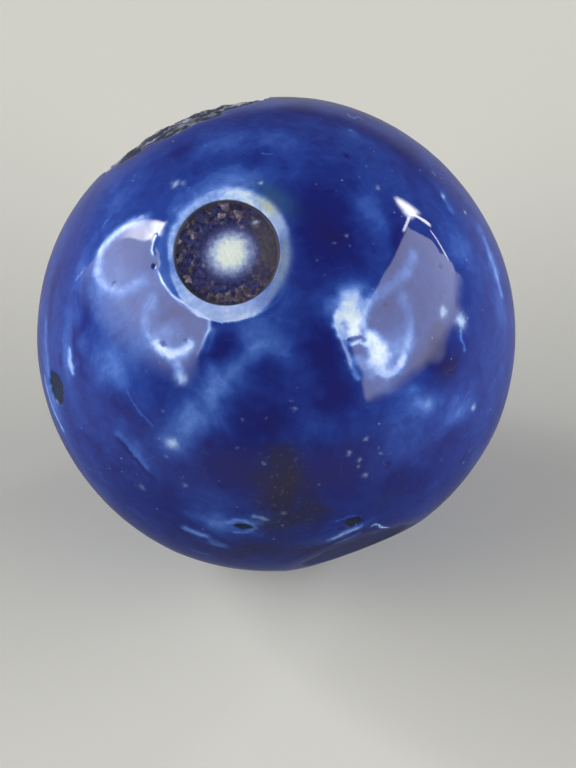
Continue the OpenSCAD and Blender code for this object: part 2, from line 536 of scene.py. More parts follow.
# clouds in the glaze: pixel, half length and half width in mm, lean in degrees, change of tone
glazeClouds = {
    "crownLeft": (229, 140, 1.5, 1.0, 10, -0.16),
    "crownMiddle": (285, 142, 1.3, 1.0, 0, -0.15),
    "crownRight": (358, 137, 1.0, 0.6, -20, -0.1),
    "crownEdge": (280, 110, 5.0, 0.8, 0, 0.14),
    "purpleLeft": (176, 156, 1.3, 0.8, 35, 0.2),
    "navyLeftCrown": (252, 160, 1.0, 0.6, 20, 0.1),
    "aboveEye": (236, 178, 2.6, 0.8, 8, -0.25),
    "leftShoulder": (118, 200, 2.6, 1.3, 52, -0.12),
    "leftBody": (106, 286, 2.8, 1.7, 80, -0.18),
    # painted reflection: the glaze paler where the left softbox mirrors in it, down to the hot ring at its
    # lower edge
    "leftReflectionGround": (148, 300, 2.4, 1.8, 70, -0.16),
    "leftReflectionSkirt": (148, 346, 2.0, 1.0, 8, -0.13),
    "leftReflectionRing": (176, 352, 1.4, 1.0, 0, -0.14),
    "ringShade": (136, 256, 1.0, 0.9, 60, 0.08),
    "ringShadeLow": (176, 313, 1.1, 0.9, 40, 0.17),
    "leftFoot": (112, 373, 1.7, 1.0, -20, -0.24),
    "leftStreak": (68, 350, 1.9, 0.5, 88, -0.18),
    "leftEdgeMist": (84, 268, 1.6, 0.8, 70, -0.1),
    "leftDarkStreak": (78, 340, 1.8, 0.25, 88, 0.2),
    "leftLimbPurple": (50, 300, 2.2, 0.5, 80, 0.2),
    "purpleMiddle": (326, 228, 3.4, 1.7, 92, 0.36),
    "rightOfPurple": (374, 220, 1.7, 1.1, 95, -0.2),
    "navyByLamp": (396, 238, 1.5, 0.7, 75, 0.28),
    "rightCrown": (400, 150, 2.3, 1.2, -42, 0.18),
    "rightHaze": (460, 245, 1.4, 0.8, -60, -0.2),
    # partly a pale streak in the glaze, partly painted reflection of the room along the right rim
    "rightRimAndReflection": (494, 270, 2.3, 0.6, -70, -0.26),
    "rightUpperStreak": (450, 205, 1.1, 0.4, -60, -0.16),
    "milkyGlow": (350, 298, 0.8, 0.8, 70, -0.3),
    "milkyHaze": (331, 306, 1.0, 0.7, 80, -0.15),
    "milkyRight": (398, 358, 1.5, 1.1, 60, -0.26),
    "milkyPatch": (350, 318, 1.5, 0.8, 82, -0.4),
    "milkyFoot": (378, 352, 1.1, 0.9, 60, -0.22),
    "band": (226, 382, 3.4, 0.95, 53, -0.28),
    "bandHead": (284, 350, 1.3, 1.1, 10, -0.24),
    "bandFoot": (196, 420, 1.3, 0.9, 60, -0.16),
    "navyAboveBand": (222, 352, 1.3, 0.7, 55, 0.32),
    "navyInBand": (262, 372, 0.8, 0.6, 20, 0.14),
    "darkMiddle": (262, 414, 2.2, 1.3, 10, 0.24),
    "navyRight": (322, 352, 1.1, 1.3, 0, 0.26),
    "navyBelow": (338, 392, 0.9, 1.4, 0, 0.26),
    "lowMiddle": (316, 424, 1.3, 0.7, 0, -0.12),
    "purpleLow": (226, 466, 2.6, 1.8, 0, 0.26),
    "purpleLowRight": (322, 478, 2.8, 1.9, 0, 0.32),
    "rightCloud": (424, 402, 1.2, 0.7, -20, -0.27),
    "rightCloudFar": (461, 409, 1.2, 0.8, 30, -0.32),
    "rightMist": (405, 425, 1.6, 0.7, 40, -0.08),
    "rightDark": (450, 366, 1.3, 1.2, 0, 0.26),
    "darkNotch": (432, 352, 1.2, 0.5, 40, 0.24),
    "lowRight": (410, 450, 1.4, 0.9, 20, -0.08),
    "lowRightDark": (392, 480, 1.3, 0.6, 30, 0.1),
    "lowRightFar": (446, 444, 1.6, 0.5, 70, 0.08),
    "lowLeftDark": (164, 500, 2.2, 1.1, -40, 0.12),
    "lowLeftPurple": (124, 414, 1.2, 0.9, 0, 0.16),
    "starGlow": (172, 441, 1.1, 0.9, 60, -0.2),
    "foldEdge": (134, 446, 1.4, 0.4, -47, -0.16),
    "lowLeftMist": (140, 486, 1.0, 0.6, -30, -0.12),
    "chipHaloLeft": (222, 522, 1.7, 0.6, 5, -0.32),
    "chipHaloRight": (262, 520, 0.9, 0.5, -10, -0.2),
    "chipBelow": (246, 534, 1.6, 0.5, 5, -0.16),
    "pockHalo": (342, 538, 1.8, 0.6, 20, -0.3),
    "footHaze": (300, 550, 5.0, 1.0, 0, -0.04),
    # painted shade: darker towards the bottom, where the ball turns away from the light
    "underDark": (285, 556, 7.5, 2.2, 0, 0.2),
    "lowRightNavy": (420, 480, 3.6, 1.6, 45, 0.12),
    "lowLeftNavy": (120, 470, 3.6, 1.3, -55, 0.08),
    "sideHalo": (50, 388, 2.4, 0.9, 100, -0.3),
}

# brown patches: pixel, half length, half width, lean, strength
umberPatches = {
    "brown": (281, 488, 3.7, 1.7, 92, 1.0),
    "brownLow": (286, 520, 2.4, 2.4, 0, 0.95),
    "right": (450, 366, 1.5, 1.3, 0, 0.5),
    "underLight": (346, 394, 1.0, 0.9, 0, 0.25),
    "purple": (326, 236, 3.0, 1.3, 92, 0.25),
    "aboveStain": (300, 282, 0.9, 0.6, 0, 0.35),
    # partly brown stain, partly painted shade at the bottom
    "under": (290, 552, 6.4, 1.8, 0, 0.72),
    "lowRight": (388, 502, 3.0, 1.2, 22, 0.4),
}

# strokes: pixels along it, half width and softness in mm, tone, strength
glazeStrokes = {
    "milkColumn": (((350, 310), (353, 318), (354, 326), (354, 333)), 0.44, 0.36, 0.0, 0.9),
    "milkCup": (((338, 316), (337, 326), (342, 334)), 0.24, 0.26, 0.02, 0.8),
    "milkTop": (((350, 296), (351, 306)), 0.3, 0.7, 0.1, 0.55),
    "milkOutline": (((343, 338), (347, 352), (352, 366), (358, 378)), 0.08, 0.22, 0.12, 0.6),
    "milkRightEdge": (((369, 302), (363, 314), (366, 328), (374, 342)), 0.09, 0.24, 0.06, 0.6),
    "milkBar": (((349, 339), (358, 338), (366, 340)), 0.07, 0.1, 0.74, 0.85),
    "milkBlock": (((352, 350), (362, 351)), 0.24, 0.16, 0.62, 0.72),
    "milkPatch": (((374, 342), (378, 350), (381, 359)), 0.55, 0.36, 0.0, 0.9),
    "milkSill": (((352, 344), (360, 343), (368, 346)), 0.05, 0.12, 0.05, 0.7),
    # painted highlight along the crescent round the right hollow
    "crescentHighlight": (((372, 362), (379, 371), (389, 374), (398, 369), (404, 358)), 0.14, 0.34, 0.02, 0.75),
    "milkFoot": (((352, 362), (360, 360), (368, 366), (372, 376)), 0.12, 0.35, 0.16, 0.55),
    # painted highlights along the arc and the rims of the left hollows
    "arcHighlight": (((146, 218), (126, 226), (110, 239), (100, 254), (97, 272)), 0.16, 0.42, 0.06, 0.62),
    "ringHighlight": (((97, 272), (104, 288), (118, 293), (132, 290), (144, 280)), 0.12, 0.52, 0.14, 0.42),
    "ringHighlightLow": (((152, 299), (145, 316), (147, 334), (157, 348)), 0.12, 0.52, 0.14, 0.42),
    # painted highlight: a hot white U below the lower left hollow
    "leftHighlightU": (((156, 345), (163, 352), (173, 355), (183, 352), (190, 344)), 0.16, 0.34, 0.0, 0.8),
    "leftMilkInner": (((166, 330), (176, 326)), 0.3, 0.5, 0.22, 0.4),
    "blobTail": (((177, 366), (181, 378)), 0.12, 0.46, 0.1, 0.7),
    # partly a pale streak in the glaze, partly painted reflection of the room along the right rim
    "rightStreakAndReflection": (((485, 240), (491, 258), (497, 276), (502, 294)), 0.06, 0.4, 0.12, 0.6),
    "rightStreakAndReflectionSoft": (((480, 228), (492, 256)), 0.1, 0.5, 0.24, 0.5),
    "starTail": (((460, 326), (462, 338), (465, 350)), 0.03, 0.16, 0.12, 0.65),
    "shoulderTail": (((442, 194), (446, 203), (453, 212)), 0.06, 0.3, 0.2, 0.55),
    "leftRimLight": (((70, 186), (60, 203), (52, 224)), 0.05, 0.4, 0.14, 0.5),
    "foldLight": (((118, 434), (129, 446), (138, 457), (145, 466)), 0.12, 0.34, 0.26, 0.55),
    "foldDark": (((118, 440), (130, 453), (146, 473), (157, 481)), 0.05, 0.18, 0.86, 0.6),
    "hair": (((127, 392), (133, 403), (142, 414), (153, 425)), 0.02, 0.09, 0.26, 0.6),
    # painted reflection: paler bands inside the right softbox's mirror image
    "rightReflectionFold": (((366, 305), (378, 294), (394, 284), (407, 272), (414, 256)), 0.14, 0.5, 0.16, 0.6),
    "rightReflectionBand": (((402, 296), (408, 312), (410, 330), (407, 350)), 0.14, 0.5, 0.2, 0.5),
    "sideStreak": (((45, 378), (48, 394), (54, 412), (63, 430)), 0.06, 0.24, 0.12, 0.75),
    "sideStreakTop": (((69, 352), (70, 362), (72, 372)), 0.1, 0.26, 0.08, 0.7),
    "sideSpot": (((60, 357), (60, 364)), 0.12, 0.16, 0.8, 0.7),
    "leftRimStreak": (((46, 325), (46, 345), (48, 366), (50, 380)), 0.16, 0.36, 0.2, 0.62),
    "bottomStreakA": (((186, 529), (195, 533), (206, 537)), 0.16, 0.34, 0.08, 0.75),
    "bottomStreakB": (((212, 543), (222, 547)), 0.2, 0.36, 0.12, 0.62),
    "bottomStreakC": (((192, 551), (208, 556)), 0.05, 0.25, 0.28, 0.5),
    "chipLight": (((253, 517), (260, 519), (267, 521)), 0.07, 0.18, 0.08, 0.75),
    "chipEdge": (
        ((228, 524), (236, 520), (246, 522), (255, 529), (246, 534), (234, 533)),
        0.04, 0.22, 0.16, 0.6,
    ),
    "pockStreakA": (((330, 543), (342, 537), (352, 532), (362, 529)), 0.09, 0.26, 0.1, 0.66),
    "pockStreakB": (((336, 547), (348, 542), (360, 536)), 0.06, 0.2, 0.16, 0.6),
    "pockStreakC": (((338, 523), (348, 519), (357, 517)), 0.03, 0.12, 0.24, 0.5),
    "footGlint": (glazeRidges["footWave"][0], 0.03, 0.08, 0.0, 0.8),
    "crownSquiggle": (((349, 114), (353, 118), (358, 116), (362, 119)), 0.02, 0.08, 0.1, 0.7),
    "crownDash": (((261, 153), (267, 154), (273, 154)), 0.02, 0.08, 0.18, 0.6),
    "leftDash": (((76, 280), (82, 272)), 0.03, 0.12, 0.15, 0.6),
    "upperDash": (((104, 226), (107, 219)), 0.03, 0.08, 0.15, 0.6),
    "eyeRightHaze": (((280, 215), (286, 240), (285, 265), (278, 288)), 0.1, 0.55, 0.36, 0.35),
}

# flecks where the glaze broke white, and eyeGlint, a painted glint in the eye: pixel, radius in mm, strength
glazeFlecks = {
    "star": (172, 444, 0.32, 0.8),
    "blob": (181, 379, 0.3, 0.7),
    "leftEdge": (71, 366, 0.24, 0.6),
    "upperLeft": (175, 184, 0.24, 0.7),
    "upperLeftPair": (183, 183, 0.22, 0.45),
    "rightCrown": (378, 187, 0.17, 0.55),
    "rightFar": (434, 173, 0.2, 0.4),
    "shoulder": (443, 196, 0.17, 0.9),
    "rightGlow": (443, 312, 0.3, 0.65),
    "rightStar": (461, 321, 0.38, 0.98),
    "rightStarArm": (468, 317, 0.16, 0.5),
    "cloudStar": (474, 407, 0.2, 0.75),
    "cloudEdge": (428, 403, 0.28, 0.4),
    "lowLeft": (141, 487, 0.26, 0.35),
    "eyeGlint": (253, 219, 0.13, 0.9),
}

# flecks like pinpricks, in the same way
pinFlecks = (
    (166, 457, 0.12, 0.5), (163, 411, 0.13, 0.35), (146, 371, 0.12, 0.3), (135, 175, 0.09, 0.45),
    (91, 296, 0.1, 0.45), (261, 183, 0.13, 0.95), (234, 124, 0.08, 0.4), (251, 131, 0.07, 0.3),
    (351, 130, 0.14, 0.5), (365, 165, 0.1, 0.35), (392, 170, 0.07, 0.5), (386, 178, 0.08, 0.3),
    (465, 212, 0.13, 0.9), (184, 486, 0.17, 0.45), (186, 512, 0.1, 0.45), (262, 519, 0.16, 0.35),
    (337, 191, 0.08, 0.35), (346, 235, 0.12, 0.55), (335, 243, 0.1, 0.45), (351, 245, 0.07, 0.65),
    (317, 261, 0.09, 0.4), (324, 275, 0.08, 0.35), (310, 234, 0.07, 0.25), (291, 400, 0.11, 0.45),
    (294, 410, 0.16, 0.5), (297, 388, 0.09, 0.3), (243, 420, 0.11, 0.45), (266, 418, 0.11, 0.4),
    (237, 447, 0.09, 0.35), (245, 448, 0.08, 0.35), (258, 452, 0.09, 0.3), (366, 439, 0.13, 0.6),
    (349, 453, 0.14, 0.65), (359, 460, 0.15, 0.6), (359, 466, 0.13, 0.55), (364, 476, 0.17, 0.6),
    (378, 449, 0.08, 0.5), (381, 453, 0.09, 0.5), (465, 463, 0.09, 0.7), (470, 451, 0.08, 0.5),
    (442, 461, 0.08, 0.4), (318, 485, 0.11, 0.45), (264, 463, 0.13, 0.5), (282, 514, 0.2, 0.4),
    (295, 458, 0.09, 0.35), (303, 453, 0.08, 0.35),
)

# small dark pits: pixel, radius, depth
glazePits = (
    (114, 283, 0.12, 0.03), (163, 343, 0.14, 0.03), (185, 341, 0.1, 0.02), (155, 265, 0.16, 0.05),
    (384, 304, 0.14, 0.02), (441, 266, 0.12, 0.02), (389, 464, 0.24, 0.01), (345, 155, 0.16, 0.01),
    (262, 206, 0.05, 0.01),
)

# the far side has clouds and flecks of the same kind, strewn at random
farSide = {
    "seed": 27,
    "tries": 160,
    "cloudSize": (0.8, 2.4),  # half length in mm
    "changes": (-0.26, -0.2, -0.14, 0.16, 0.24, 0.3),  # of tone
    "fleckStrength": (0.3, 0.8),
    "fleckEvery": 3,  # one cloud in three has a fleck in its middle
    "facing": 0.02,  # only where the ball faces the camera less than this
}

# the pale ring round the eye: angle, spread, width, softness, tone
eyeRing = {
    "below": (262, 75, 0.84, 0.06, 0.13),
    "left": (185, 66, 0.22, 0.2, 0.13),
    "upperLeft": (130, 45, 0.16, 0.66, 0.16),
    "top": (78, 52, 0.46, 0.58, 0.05),
    "stained": (28, 30, 0.52, 0.36, 0.09),
    "right": (-15, 60, 0.34, 0.34, 0.3),
}


def spotsAlong(pixels):
    # places a quarter of a millimetre apart on a bent line
    places = []
    for first, last in zip(pixels, pixels[1:]):
        start = seenAt(*first)
        end = seenAt(*last)
        steps = max(1, math.ceil((end - start).length * ballRadius / 0.25))
        places += [start.lerp(end, step / steps).normalized() for step in range(steps + 1)]
    return places


def refineSpots(ball, spots):
    # halve every edge with both ends within reach of one of the places
    ball.verts.index_update()
    corners = np.array([vert.co for vert in ball.verts])
    near = np.zeros(len(corners), dtype=bool)
    for place, reach in spots:
        near |= np.linalg.norm(corners - np.array(place) * ballRadius, axis=1) < reach
    chosen = [edge for edge in ball.edges if near[edge.verts[0].index] and near[edge.verts[1].index]]
    bmesh.ops.subdivide_edges(ball, edges=chosen, cuts=1, use_grid_fill=True)
    bmesh.ops.triangulate(ball, faces=[face for face in ball.faces if len(face.verts) > 3])
    for vert in ball.verts:
        vert.co = vert.co.normalized() * ballRadius


def rollBall():
    ball = bmesh.new()
    bmesh.ops.create_icosphere(ball, subdivisions=rolledBall["halvings"], radius=ballRadius)
    # what needs finer faces, and what needs rather fine ones: middle and reach in mm
    fine = [(axisOf(kilnEye), kilnEye["scar"] + kilnEye["collar"] + 0.45)]
    rather = [(axisOf(crustPatch), crustPatch["reach"] + crustPatch["spread"] + 0.6)]
    for turn, tilt, radius, depth in smallScars.values():
        fine.append((turnedTo(turn, tilt), radius + 0.35))
    fine.append((axisOf(longChip), longChip["length"] / 2 + 0.25))
    for x, y, long, short, lean, depth in glazeHollows.values():
        rather.append((seenAt(x, y), max(long, short)))
    for x, y, radius, *rest in [*glazeFlecks.values(), *pinFlecks, *glazePits]:
        fine.append((seenAt(x, y), radius + 0.16))
    for pixels, width, *rest in [*glazeRidges.values(), *glazeFolds.values()]:
        fine += [(place, 1.6 * width) for place in spotsAlong(pixels)]
    for pixels, width, soft, tone, strength in glazeStrokes.values():
        fine += [(place, max(0.2, width + soft * 0.6)) for place in spotsAlong(pixels) if width + soft < 0.35]
    rather += [(place, reach + 0.3) for place, reach in fine]
    refineSpots(ball, rather)
    refineSpots(ball, fine)
    print("ball rolled,", len(ball.faces), "faces")
    return ball


def sideSphere(reach, depth):
    # radius of the larger sphere that shaves a side of the ball, as in the part's source
    edge = ballRadius * math.sin(math.radians(reach))
    rise = ballRadius * (1 - math.cos(math.radians(reach))) - depth
    return (edge ** 2 + rise ** 2) / (2 * rise)


def lowSideRadius(skin, turn, tilt, reach, depth):
    sideRadius = sideSphere(reach, depth)
    middle = ballRadius - depth - sideRadius
    along = skin @ np.array(turnedTo(turn, tilt)) * middle
    return along + np.sqrt(along ** 2 - middle ** 2 + sideRadius ** 2)


def collarTop(sphereRadius, edge, collar, crease):
    # height of a flat inside a rounded collar, over the sphere's middle, and the collar's roundness
    lean = math.asin(edge / sphereRadius) - math.radians(crease)
    return math.sqrt(sphereRadius ** 2 - edge ** 2) + collar * math.tan(lean / 2), collar / math.sin(lean)


def collarFall(edge, collar, roundness, away):
    # how far the collar has dropped from the flat
    inCollar = np.clip(away - (edge - collar), 0, collar)
    return roundness - np.sqrt(roundness ** 2 - inCollar ** 2)


def softMin(first, second, blend):
    return 0.5 * (first + second - np.sqrt((first - second) ** 2 + blend ** 2))


def baseSkin(skin):
    # distance of the rolled ball's surface from its middle
    radius = np.full(len(skin), ballRadius)
    for turn, tilt, reach, depth in rolledBall["lowSides"]:
        side = lowSideRadius(skin, turn, tilt, reach, depth)
        blend = rolledBall["sideBlend"]
        radius = np.minimum(softMin(radius, side, blend) + blend / 2, ballRadius)
    return radius


def flatAway(skin, axis, height):
    # distance from an axis of the place where each direction meets a flat at this height
    facing = skin @ np.array(axis)
    apart = np.sqrt(np.clip(1 - facing ** 2, 0, 1))
    return np.where(facing > 0.5, height * apart / np.clip(facing, 0.5, 1), 99.0)


def eyeCollar():
    return collarTop(ballRadius, kilnEye["scar"] + kilnEye["collar"], kilnEye["collar"], kilnEye["crease"])


def eyeAwayAt(skin):
    # distance from the eye's middle, measured on its flat; the eye is a little longer towards the camera
    axis = axisOf(kilnEye)
    top, roundness = eyeCollar()
    away = flatAway(skin, axis, top)
    toward = (viewBack - axis * viewBack.dot(axis)).normalized()
    apart = np.sqrt(np.clip(1 - (skin @ np.array(axis)) ** 2, 1e-9, 1))
    share = skin @ np.array(toward) / apart
    return away * np.sqrt(1 - (1 - kilnEye["stretch"] ** -2) * share ** 2)


def eyeTurn(skin):
    # angle round the eye, counted from the right as the camera sees it
    axis = axisOf(kilnEye)
    rightWay = (viewRight - axis * viewRight.dot(axis)).normalized()
    upWay = axis.cross(rightWay)
    return np.degrees(np.arctan2(skin @ np.array(upWay), skin @ np.array(rightWay)))


def nearTurn(turn, middle, spread):
    # 1 at an angle, fading to 0 a spread away from it
    apart = np.abs((turn - middle + 180) % 360 - 180)
    return rampUp(spread, 0, apart)


def eyeSkin(skin, radius, away, crumbs, grain):
    axis = axisOf(kilnEye)
    facing = np.clip(skin @ np.array(axis), 0.5, 1)
    scar = kilnEye["scar"]
    collar = kilnEye["collar"]
    edge = scar + collar
    top, roundness = eyeCollar()
    height = top - collarFall(edge, collar, roundness, away)
    height = height - kilnEye["depth"] * rampUp(scar, scar - kilnEye["wall"], away)
    height = height + kilnEye["domeHeight"] * np.clip(1 - (away / kilnEye["dome"]) ** 2, 0, 1)
    ring = rampUp(1.3, 2.0, away) * rampUp(scar - 0.05, scar - 0.35, away)
    turn = eyeTurn(skin)
    crumbly = 0.3 + 0.7 * np.maximum(nearTurn(turn, 215, 110), nearTurn(turn, 120, 50))
    height = height + ring * crumbly * crumbs * kilnEye["crumbHeight"]
    height = height + rampUp(scar, scar - 0.3, away) * grain * 0.035
    return np.where(away < edge + 0.3, softMin(radius, height / facing, 0.01) + 0.005, radius)


def footSkin(skin, radius, grain):
    # the flat on which the ball stood in the kiln
    axis = axisOf(footScar)
    facing = np.clip(skin @ np.array(axis), 0.5, 1)
    reach, depth = rolledBall["lowSides"][0][2:]
    sideRadius = sideSphere(reach, depth)
    middle = ballRadius - depth - sideRadius
    flat = footScar["flat"]
    collar = footScar["collar"]
    edge = flat + collar
    top, roundness = collarTop(sideRadius, edge, collar, footScar["crease"])
    away = flatAway(skin, axis, middle + top)
    height = middle + top - collarFall(edge, collar, roundness, away)
    height = height + footScar["rough"] * grain * rampUp(flat + 0.2, flat - 0.5, away)
    shaped = np.where(away < edge + 1.0, softMin(radius, height / facing, 0.04) + 0.02, radius)
    return np.minimum(shaped, radius), away


def shapeSkin(skin):
    spots = skin * ballRadius
    wide = driftAt(spots, 0.7, 3.1)
    rough = noiseAt(spots, 2.6, 6.0)
    radius = baseSkin(skin)
    for step, height in rolledBall["waves"]:
        radius = radius + height * (noiseAt(spots, step, 11.7) - 0.25)

    for x, y, long, short, lean, depth in glazeHollows.values():
        reach = ovalReach(skin, x, y, long, short, lean)
        radius = radius - depth * np.clip(1 - reach ** 2, 0, 1) ** 3
    for pixels, width, height, palenessAndHighlight in glazeRidges.values():
        away, along = lineReach(skin, pixels)
        radius = radius + height * bell(away / width) * rampUp(0, 0.15, along) * rampUp(1, 0.85, along)
    for pixels, width, depth in glazeFolds.values():
        away, along = lineReach(skin, pixels)
        ends = rampUp(0, 0.3, along) * rampUp(1, 0.7, along)
        radius = radius - depth * ends * (bell(away / width) - 0.4 * bell((away - 1.7 * width) / width))
    for x, y, size, depth in glazePits:
        radius = radius - depth * bell(across(skin, seenAt(x, y)) / size)

    # crumbs, worked out only where there are any
    eyeAway = eyeAwayAt(skin)
    inEye = eyeAway < kilnEye["scar"]
    eyeCrumbs = np.zeros(len(skin))
    tints = np.full(len(skin), 0.5)
    eyeCrumbs[inEye], tints[inEye] = crumbsAt(spots[inEye], kilnEye["crumb"], 5.0)
    grain = np.zeros(len(skin))
    grain[inEye] = noiseAt(spots[inEye], 6.5, 2.2)
    radius = eyeSkin(skin, radius, eyeAway, eyeCrumbs, grain)

    crustAway = across(skin, axisOf(crustPatch))
    ragged = crustAway - crustPatch["spread"] + 0.75 * wide[:, 0] + 0.35 * wide[:, 1] + 0.25 * rough
    crust = rampUp(crustPatch["reach"], crustPatch["reach"] - 0.35, ragged)
    inCrust = crustAway < crustPatch["reach"] + crustPatch["spread"] + 1.0
    crustCrumbs = np.zeros(len(skin))
    heights, own = crumbsAt(spots[inCrust], crustPatch["crumb"], 9.0)
    small, smallOwn = crumbsAt(spots[inCrust], crustPatch["crumb"] * 0.5, 4.0)
    crustCrumbs[inCrust] = heights * 0.75 + 0.4 * small
    tints[inCrust] = 0.55 * own + 0.45 * smallOwn
    radius = radius - crust * (crustPatch["depth"] - crustPatch["crumbHeight"] * crustCrumbs)

    radius, footAway = footSkin(skin, radius, rough)

    scars = np.zeros(len(skin))
    for turn, tilt, scar, depth in smallScars.values():
        away = across(skin, turnedTo(turn, tilt)) + 0.22 * scar * rough
        sunk = depth + 0.5 * (scar ** 2 - np.minimum(away, scar) ** 2) / ballRadius
        hole = rampUp(scar, scar - 0.22, away)
        radius = radius - sunk * hole
        scars = np.maximum(scars, hole)
    chipAxis = axisOf(longChip)
    levelWay = Vector((0, 0, 1)).cross(chipAxis).normalized()
    risingWay = chipAxis.cross(levelWay)
    chipAlong = skin @ np.array(levelWay) * ballRadius / (longChip["length"] / 2)
    chipAside = skin @ np.array(risingWay) * ballRadius / (longChip["width"] / 2)
    chipReach = np.where(skin @ np.array(chipAxis) > 0, np.abs(chipAside) + chipAlong ** 2 + 0.2 * rough, 9)
    chip = rampUp(1.0, 0.55, chipReach)
    radius = radius - longChip["depth"] * chip
    scars = np.maximum(scars, chip)

    marks = {"crumbTint": tints, "crust": crust, "smallScar": scars, "footAway": footAway, "eyeAway": eyeAway}
    return radius, marks


def toneSkin(skin):
    # tone of the glaze at each point, before its fine grain
    spots = skin * ballRadius
    fine = driftAt(spots, 1.4, 8.0)
    loose = driftAt(spots, 0.45, 21.0) * glazeColours["drift"] + fine * 0.3
    drifted = onBall(skin + loose / ballRadius)
    tone = np.full(len(skin), glazeColours["plain"])
    for x, y, long, short, lean, change in glazeClouds.values():
        reach = ovalReach(drifted, x, y, long * 1.15, short * 1.15, lean)
        tone = tone + change * bell(reach)
    umber = np.zeros(len(skin))
    for x, y, long, short, lean, strength in umberPatches.values():
        reach = ovalReach(drifted, x, y, long, short, lean)
        umber = np.maximum(umber, strength * bell(reach))

    strewn = random.Random(farSide["seed"])
    farFlecks = []
    for _ in range(farSide["tries"]):
        way = Vector((strewn.gauss(0, 1), strewn.gauss(0, 1), strewn.gauss(0, 1))).normalized()
        size = strewn.uniform(*farSide["cloudSize"])
        change = strewn.choice(farSide["changes"])
        if way.dot(viewBack) < farSide["facing"]:
            tone = tone + change * bell(across(drifted, way) / size)
            farFlecks.append((way, 0.08 + 0.09 * size, strewn.uniform(*farSide["fleckStrength"])))

    # strokes and flecks keep sharper edges
    shaken = onBall(skin + (fine * 0.1 + driftAt(spots, 4.0, 5.0) * 0.11) / ballRadius)
    swayed = onBall(skin + (driftAt(spots, 0.9, 14.0) * 0.09 + fine * 0.04) / ballRadius)
    # the ridges' paleness is partly the glaze breaking pale and partly a painted highlight along them
    for pixels, width, height, palenessAndHighlight in glazeRidges.values():
        away, along = lineReach(swayed, pixels)
        ends = rampUp(0, 0.15, along) * rampUp(1, 0.8, along)
        tone = tone - palenessAndHighlight * ends * bell(away / (width * 0.9))
    for pixels, width, soft, target, strength in glazeStrokes.values():
        away, along = lineReach(shaken, pixels)
        tone = tone + (target - tone) * strength * rampUp(width + soft, width * 0.5, away)
    fleck = np.zeros(len(skin))
    seenFlecks = [(seenAt(x, y), *rest) for x, y, *rest in [*glazeFlecks.values(), *pinFlecks]]
    for way, radius, strength in seenFlecks + farFlecks[:: farSide["fleckEvery"]]:
        away = across(shaken, way) / radius
        strength = strength * min(1, 0.45 + 1.8 * radius)
        fleck = np.maximum(fleck, strength * (0.7 * bell(away * 1.05) + 0.3 * bell(away * 0.5)))
    for x, y, size, depth in glazePits:
        away = across(shaken, seenAt(x, y)) / size
        tone = tone + (0.95 - tone) * 0.75 * bell(away)
        fleck = fleck * (1 - bell(away))
    return tone, umber, fleck


def eyeMarks(skin, away, tone):
    # ring tones round the eye
    spots = skin * ballRadius
    turn = eyeTurn(skin)
    near = away < kilnEye["markReach"]
    wander = np.zeros(len(skin))
    wander[near] = noiseAt(spots[near], 1.5, 14.0)
    fine = np.zeros(len(skin))
    fine[near] = noiseAt(spots[near], 4.5, 3.0)

    # each side of the ring has its share of a point
    shares = {side: nearTurn(turn, angle, spread) for side, (angle, spread, *rest) in eyeRing.items()}
    total = sum(shares.values()) + 1e-6
    width, soft, target = [
        sum(shares[side] * eyeRing[side][part] for side in eyeRing) / total for part in (2, 3, 4)
    ]
    target = target + 0.05 * fine
    rightSide = shares["right"] / total
    over = away - kilnEye["scar"] + 0.06 * wander + 0.03 * fine
    pale = rampUp(width + soft, width - 0.02, over)
    tone = tone + (target - tone) * pale * (1 - 0.25 * rightSide)
    glow = 0.2 * rampUp(2.2, 0.5, over + 0.3 * wander) * (0.4 + 0.6 * nearTurn(turn, 110, 90))
    tone = tone - glow * (1 - pale)
    band = nearTurn(turn, 193, 48) * rampUp(0.95, 0.82, over) * (1 - pale)
    tone = tone + (0.29 - tone) * band * 0.85
    # a thin pale line along the lower edge of the ring, partly the glaze breaking pale on its rolled edge and
    # partly a painted highlight
    edgeLineAndHighlight = bell((over - 0.86) / 0.05) * nearTurn(turn, 262, 70)
    tone = tone * (1 - 0.8 * edgeLineAndHighlight)

    stain = bell((turn - 47) / 12) * bell((over - 0.38) / 0.3) * 0.85
    rightGreen = 0.4 * nearTurn(turn, -12, 60) * bell((over - 0.25) / 0.3)
    pearl = nearTurn(turn, 265, 80) * pale * (0.75 + 0.5 * fine) + 0.7 * nearTurn(turn, 30, 22) * pale
    outside = near & (over > 0)
    moss = np.maximum(stain, rightGreen) * outside
    teal = 0.75 * nearTurn(turn, 50, 38) * bell((over - 1.15) / 0.75) * outside
    return tone, moss, teal, np.clip(pearl, 0, 1) * outside


# fine grain of the glaze: waves to a metre, how strongly the tone follows it
glazeGrain = {
    "wide": (330, 0.44),
    "wisps": (820, 0.24),
    "fine": (1500, 0.1),
    "grit": 3600,
    "tooth": 5200,
    "peel": 900,
    "pins": 1150,
    "pinPatches": 800,
    "hairs": 420,
    "hairPatches": 700,
}

glazeFinish = {
    "roughness": 0.2,
    "brokenRoughness": 0.3,  # more where the glaze is torn off
    "brokenCoat": 0.8,  # loss of the glassy coat there
    "edgeCoat": 0.3,  # loss of it where the glaze is seen at a slant
    "coatRoughness": 0.03,
    "coatIor": 1.4,
    "stain": {"teal": 0.8, "pearl": 0.7, "moss": 1},  # how strongly each one covers
}


